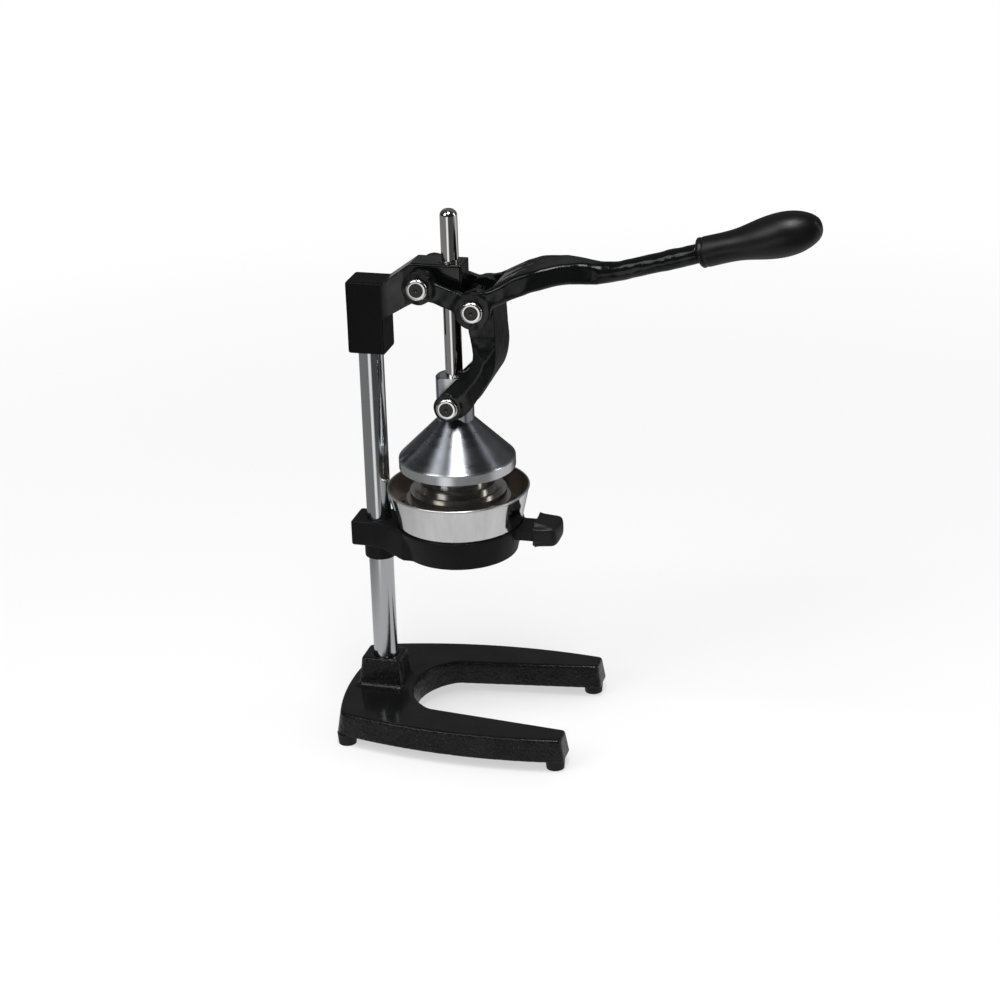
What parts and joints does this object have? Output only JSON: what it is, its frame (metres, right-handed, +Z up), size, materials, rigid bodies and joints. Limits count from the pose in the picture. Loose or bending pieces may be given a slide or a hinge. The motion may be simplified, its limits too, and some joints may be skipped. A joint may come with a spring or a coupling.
{
  "type": "lever citrus juice press",
  "caption": "Lever citrus press: forked hand lever and C-shaped link push a turned bell on a guide rod down over a stepped strainer in a steel bowl, held on a post and U-shaped base.",
  "frame": {"origin": "on the table under the feet, midway between the rear of the base and the end of the grip, in the press's middle plane", "axes": "+X forward, from the post to the lever's grip; +Z up; +Y across, away from the picture's camera"},
  "size_m": [0.4296, 0.188, 0.4962],
  "materials": {
    "base_enamel": "black hammer-finish enamel, smoother on top",
    "gloss_enamel": "glossy black enamel over cast iron",
    "bracket_enamel": "satin charcoal enamel",
    "post_chrome": "polished chromed bar",
    "bowl_steel": "mirror outside, fine brushed inside",
    "bell_aluminium": "turned aluminium",
    "ring_chrome": "bright chromed ring",
    "pin_steel": "dark turned pin end",
    "grip_plastic": "satin black phenolic",
    "knob_plastic": "matte charcoal plastic",
    "foot_rubber": "black rubber",
    "fastener_steel": "zinc-plated steel",
    "bush_steel": "dark oiled steel bush"
  },
  "bodies": {
    "frame": {"base_casting": "base_enamel", "rubber_feet": "foot_rubber", "foot_screws": "fastener_steel", "column_post": "post_chrome", "column_base_bolt": "fastener_steel", "column_base_washer": "fastener_steel", "head_casting": "gloss_enamel", "head_set_screw": "fastener_steel", "rod_guide_bush": "bush_steel", "cup_bracket": "bracket_enamel", "bracket_set_screw": "fastener_steel", "bracket_handle_grip": "knob_plastic", "juice_bowl": "bowl_steel", "strainer_cone": "bowl_steel"},
    "lever": {"lever_casting": "gloss_enamel", "lever_grip": "grip_plastic", "fulcrum_pin": "pin_steel", "fulcrum_pin_rings": "ring_chrome", "link_upper_pins": "pin_steel", "link_upper_pin_rings": "ring_chrome"},
    "plunger": {"press_rod": "post_chrome", "press_bell": "bell_aluminium", "hub_set_screw": "fastener_steel"},
    "link": {"link_casting": "gloss_enamel", "lower_pin": "pin_steel", "lower_pin_rings": "ring_chrome"}
  },
  "joints": [
    {"name": "lever_pivot", "type": "hinge", "parent": "frame", "child": "lever", "pos_m": [-0.12504, 0, 0.421], "axis": [0, 1, 0], "range_deg": [-25, 45]},
    {"name": "plunger_slide", "type": "slide", "parent": "frame", "child": "plunger", "axis": [0, 0, -1], "range_m": [-0.02, 0.0357]},
    {"name": "link_swing", "type": "hinge", "parent": "plunger", "child": "link", "pos_m": [-0.10384, 0, 0.3124], "axis": [0, 1, 0], "range_deg": [-11.6, 6.6]}
  ],
  "couplings": [
    {"joint": "plunger_slide", "follows": "lever_pivot", "m_per_rad": 0.044977},
    {"joint": "link_swing", "follows": "lever_pivot", "ratio": -0.25}
  ]
}
